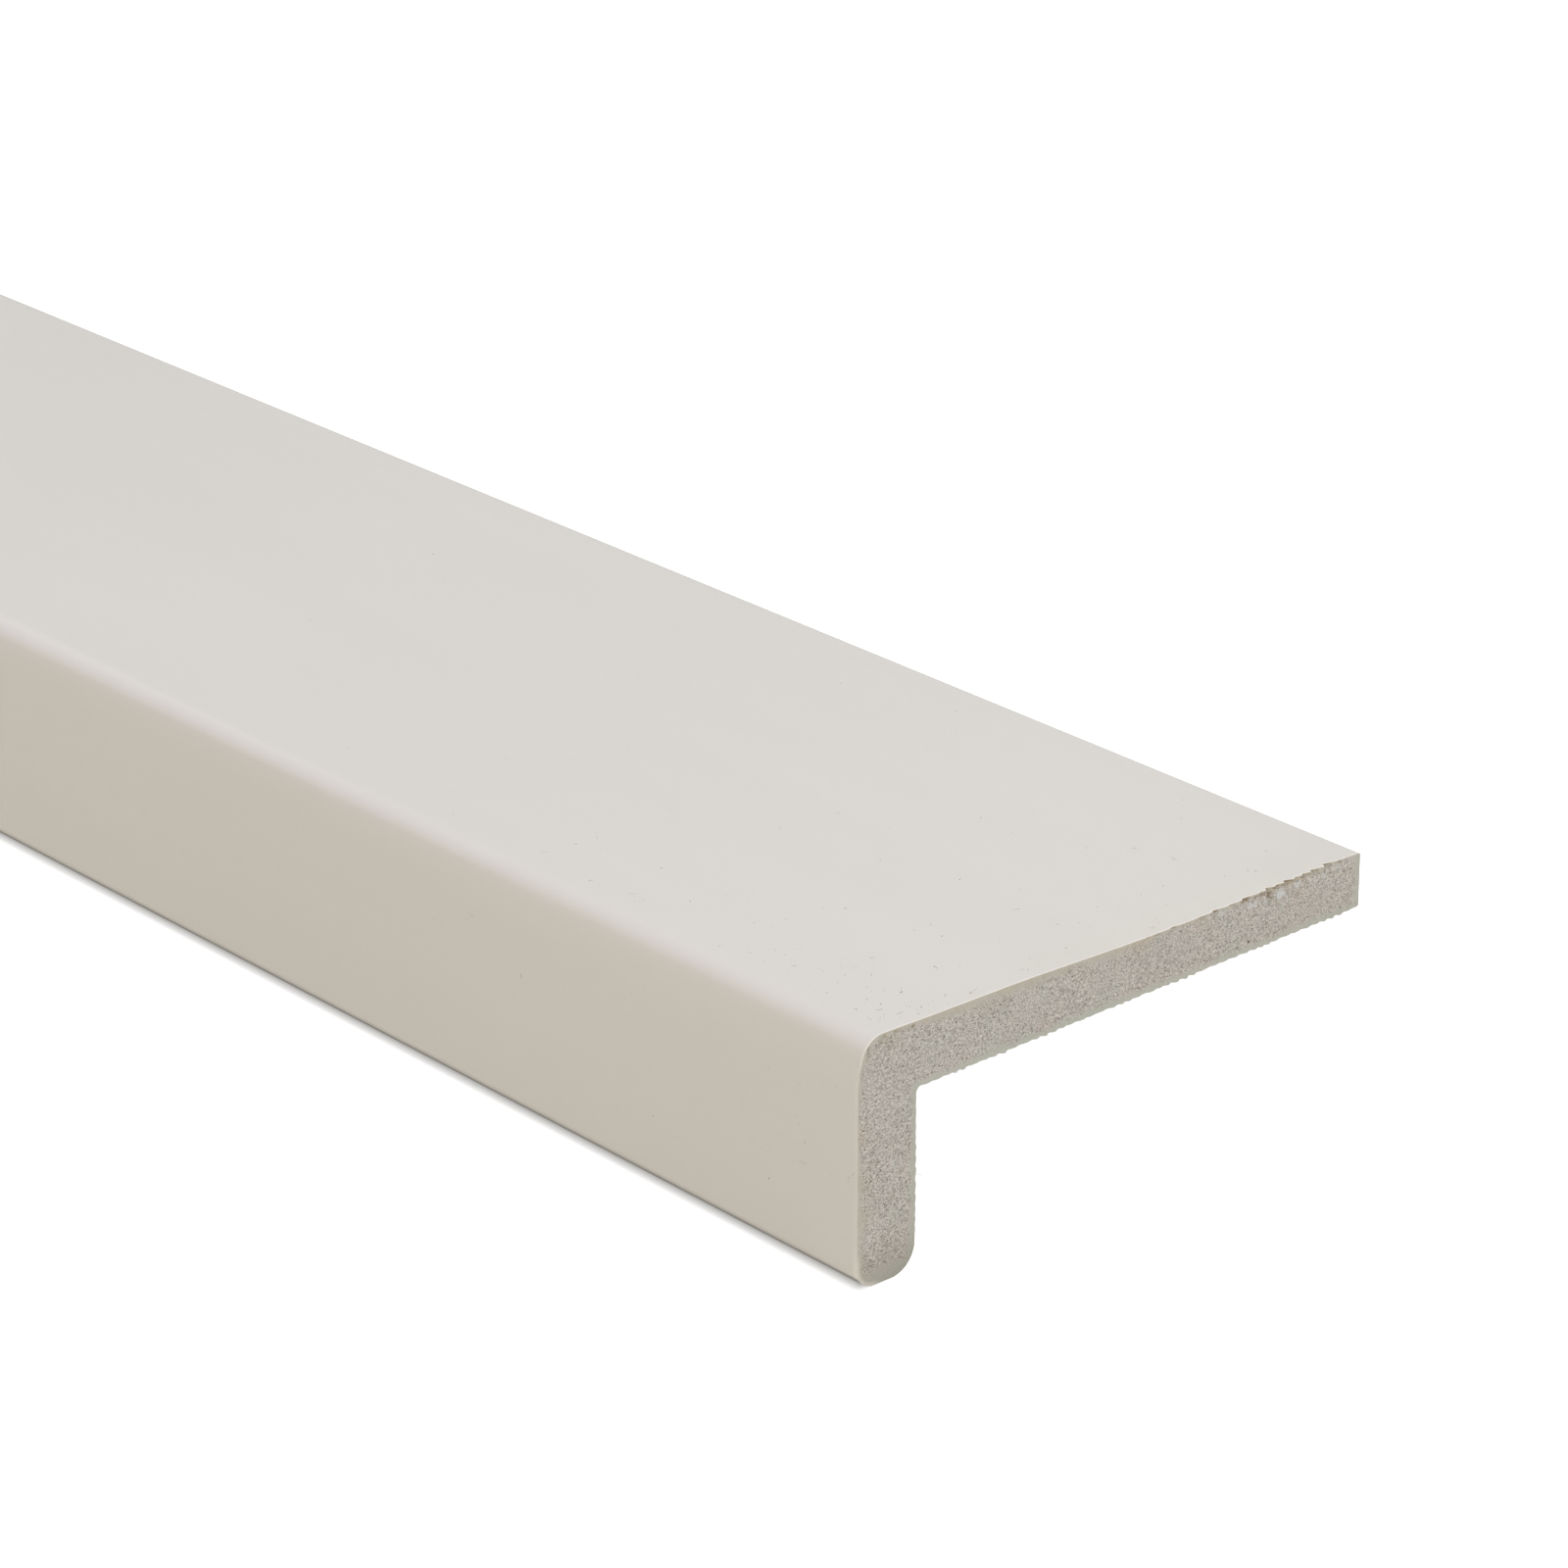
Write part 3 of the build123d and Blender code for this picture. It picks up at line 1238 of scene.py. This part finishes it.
def makeSwarfFinish(name, colour, change):
    material, tree, shader, place = newFinish(name, roughness=0.7)
    tone = addGroup(
        tree, toneGroup, Vector=place, Colour=rgba(colour), Drift=0.1, Grain=change, Grain_Scale=160.0
    )
    tree.links.new(tone, shader.inputs["Base Color"])
    return material


fasciaBoard, sawnCorner = makeBoard()
for material in (makeSkinFinish(), makeBackFinish(), makeFoamFinish()):
    fasciaBoard.data.materials.append(material)
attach(fasciaBoard, "root")
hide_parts("fascia_board")

sawSwarf = makeSwarf(sawnCorner)
sawSwarf.data.materials.append(makeSwarfFinish("paleSwarf", finish["swarf"], change=1.1))
sawSwarf.data.materials.append(makeSwarfFinish("darkGrit", finish["grit"], change=0.3))
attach(sawSwarf, "root")
print("board finished")

# Studio

studio = {
    "floorSize": 60.0,
    "floorColour": (0.90, 0.90, 0.90),
    "paintedFootShadow": (0.12, 0.11, 0.10),
    "glow": 1.0,                # seen by the camera alone, so that the floor stays white
    "shade": 0.04,              # the same in the shadow along the foot of the board
    "sky": (1.0, 1.0, 1.0),
    "skyStrength": 0.10,
    "skySeen": 0.90,            # the same where the camera looks past the floor
}

# Strip of floor under the leg that keeps its real shadow and is also painted dark, a painted shadow: from
# where to where it deepens, from where to where it clears again behind the toe, and how far before the cut
# it starts to fade, in metres
footShadow = {
    "deepens": (-0.0550, -0.0481),
    "clears": (-0.0438, -0.0398),
    "fades": 0.0034,
}

# Lamps without a place: name, strength, softness, colour, and where the light comes from
lamps = (
    ("backSoft", 1.42, radians(55), (0.880, 0.978, 1.0), (0.10, 0.90, 0.42)),
    ("leftSoft", 1.45, radians(55), (0.689, 0.729, 1.0), (-0.90, 0.0, 0.43)),
    ("frontFill", 0.65, radians(55), (1.0, 0.947, 0.637), (0.30, -0.85, 0.42)),
    ("rightFill", 0.36, radians(55), (0.844, 0.867, 1.0), (0.90, 0.10, 0.42)),
)

# Round panel over the sawn end
panel = {
    "place": (1.25, 0.0, 1.4),
    "aim": (1.1, 0.0, 0.0),
    "size": 1.2,
    "power": 8.5,
    "colour": (0.925, 0.940, 1.0),
}


def makeFloor():
    bm = bmesh.new()
    bmesh.ops.create_grid(bm, x_segments=1, y_segments=1, size=studio["floorSize"] / 2)
    ground = newObject("studioFloor", bm)
    material, tree, shader, place = newFinish("paleFloor", 1.0)
    shader.inputs["Specular IOR Level"].default_value = 0.0
    shader.inputs["Emission Strength"].default_value = 1.0
    split = tree.nodes.new("ShaderNodeSeparateXYZ")
    tree.links.new(place, split.inputs[0])
    across = split.outputs["Y"]
    strip = addMath(
        tree,
        "MULTIPLY",
        addRange(tree, across, *footShadow["deepens"]),
        addRange(tree, across, *footShadow["clears"], 1.0, 0.0),
    )
    along = addMath(tree, "ABSOLUTE", split.outputs["X"], 0.0)
    inside = addRange(tree, along, sawnCorner.x - footShadow["fades"], sawnCorner.x, 1.0, 0.0)
    shaded = addMath(tree, "MULTIPLY", strip, inside)
    # painted shadow: the floor is darker in the strip along the foot of the board
    base = addMix(tree, shaded, studio["floorColour"], studio["paintedFootShadow"])
    tree.links.new(base, shader.inputs["Base Color"])
    glow = addRange(tree, shaded, 0.0, 1.0, studio["glow"], studio["shade"])
    seen = tree.nodes.new("ShaderNodeLightPath").outputs["Is Camera Ray"]
    tree.links.new(addMath(tree, "MULTIPLY", glow, seen), shader.inputs["Emission Color"])
    ground.data.materials.append(material)


def placeLamp(name, data, place, towards):
    lamp = bpy.data.objects.new(name, data)
    lamp.location = place
    lamp.rotation_euler = Vector(towards).to_track_quat("Z", "Y").to_euler()
    bpy.context.scene.collection.objects.link(lamp)


def makeLights():
    world = bpy.data.worlds.new("studioSky")
    world.use_nodes = True
    tree = world.node_tree
    back = next(n for n in tree.nodes if n.type == "BACKGROUND")
    back.inputs["Color"].default_value = rgba(studio["sky"])
    seen = tree.nodes.new("ShaderNodeLightPath").outputs["Is Camera Ray"]
    shown = addMath(tree, "MULTIPLY", seen, studio["skySeen"] - studio["skyStrength"])
    tree.links.new(addMath(tree, "ADD", shown, studio["skyStrength"]), back.inputs["Strength"])
    bpy.context.scene.world = world
    for name, strength, softness, colour, source in lamps:
        data = bpy.data.lights.new(name, "SUN")
        data.energy = strength
        data.angle = softness
        data.color = colour
        placeLamp(name, data, (0, 0, 0), source)
    data = bpy.data.lights.new("topPanel", "AREA")
    data.shape = "DISK"
    data.size = panel["size"]
    data.energy = panel["power"]
    data.color = panel["colour"]
    placeLamp("topPanel", data, panel["place"], Vector(panel["place"]) - Vector(panel["aim"]))


# The camera looks at the board as the photograph does: its angles are the board's own, so it
# leans with the board's tilt
shot = {
    "heading": radians(41.23),     # from the run of the board towards its free edge
    "dip": radians(22.77),         # below the top of the flange
    "distance": 0.8025,            # metres ahead of the lens to the nose of the sawn end
    "lens": 133.7,
    "sensor": 36.0,
    "picture": 1600,
    "noseX": 876,                  # where the photograph has that nose
    "noseY": 1064,
}


def placeCamera(nose):
    lean = Matrix.Rotation(-restTilt(), 3, "X")
    head, dip = shot["heading"], shot["dip"]
    ahead = Vector((-cos(head) * cos(dip), sin(head) * cos(dip), -sin(dip)))
    right = ahead.cross(Vector((0, 0, 1))).normalized()
    down = ahead.cross(right)
    pixels = shot["picture"] * shot["lens"] / shot["sensor"]
    offX = (shot["noseX"] - shot["picture"] / 2) / pixels
    offY = (shot["noseY"] - shot["picture"] / 2) / pixels
    back = (ahead + right * offX + down * offY) * shot["distance"]
    data = bpy.data.cameras.new("studioCamera")
    data.lens = shot["lens"]
    data.sensor_width = shot["sensor"]
    camera = bpy.data.objects.new("studioCamera", data)
    turn = (lean @ Matrix((right, -down, -ahead)).transposed()).to_4x4()
    camera.matrix_world = Matrix.Translation(nose - lean @ back) @ turn
    bpy.context.scene.collection.objects.link(camera)
    bpy.context.scene.camera = camera


makeFloor()
makeLights()
placeCamera(sawnCorner)
bpy.context.scene.view_settings.view_transform = "Standard"
print("studio ready")
